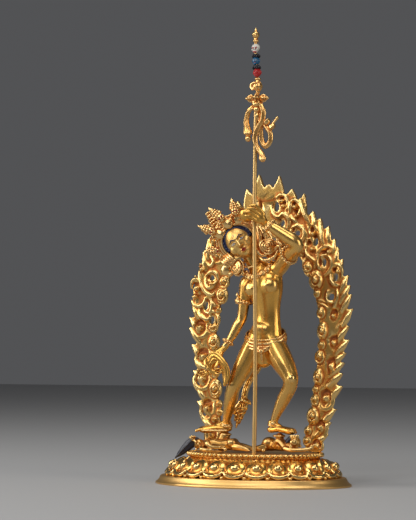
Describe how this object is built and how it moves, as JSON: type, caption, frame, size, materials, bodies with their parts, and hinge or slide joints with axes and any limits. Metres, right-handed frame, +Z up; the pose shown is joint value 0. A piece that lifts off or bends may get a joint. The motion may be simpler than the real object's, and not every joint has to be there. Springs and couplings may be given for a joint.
{
  "type": "vajrayogini statue",
  "caption": "Gilt metal figure striding on two lying figures, with raised skull cup, curved knife, tall staff, flame arch and oval lotus base.",
  "frame": {"origin": "centre of the underside of the base", "axes": "+Z up, the figure faces -Y, +X to the viewer's right from the front"},
  "size_m": [0.1614, 0.1002, 0.353],
  "materials": {
    "base_gilt": "gilt, bright on the swellings with orange-red tint in the recesses",
    "trampled_gilt": "gilt, with dark blue painted hair",
    "figure_gilt": "polished gilt; face in cold matte gold with painted eyes, lips and blue hairline",
    "knife_gilt": "polished gilt",
    "staff_gilt": "polished gilt; top heads painted white, blue and red",
    "mandorla_gilt": "matte, finely sanded gilt with orange-red tint in the recesses"
  },
  "bodies": {
    "root": {"lotus_base": "base_gilt", "trampled_figure_left": "trampled_gilt", "trampled_figure_right": "trampled_gilt", "vajrayogini_figure": "figure_gilt", "curved_knife": "knife_gilt", "khatvanga_staff": "staff_gilt", "flame_mandorla": "mandorla_gilt"}
  },
  "joints": []
}
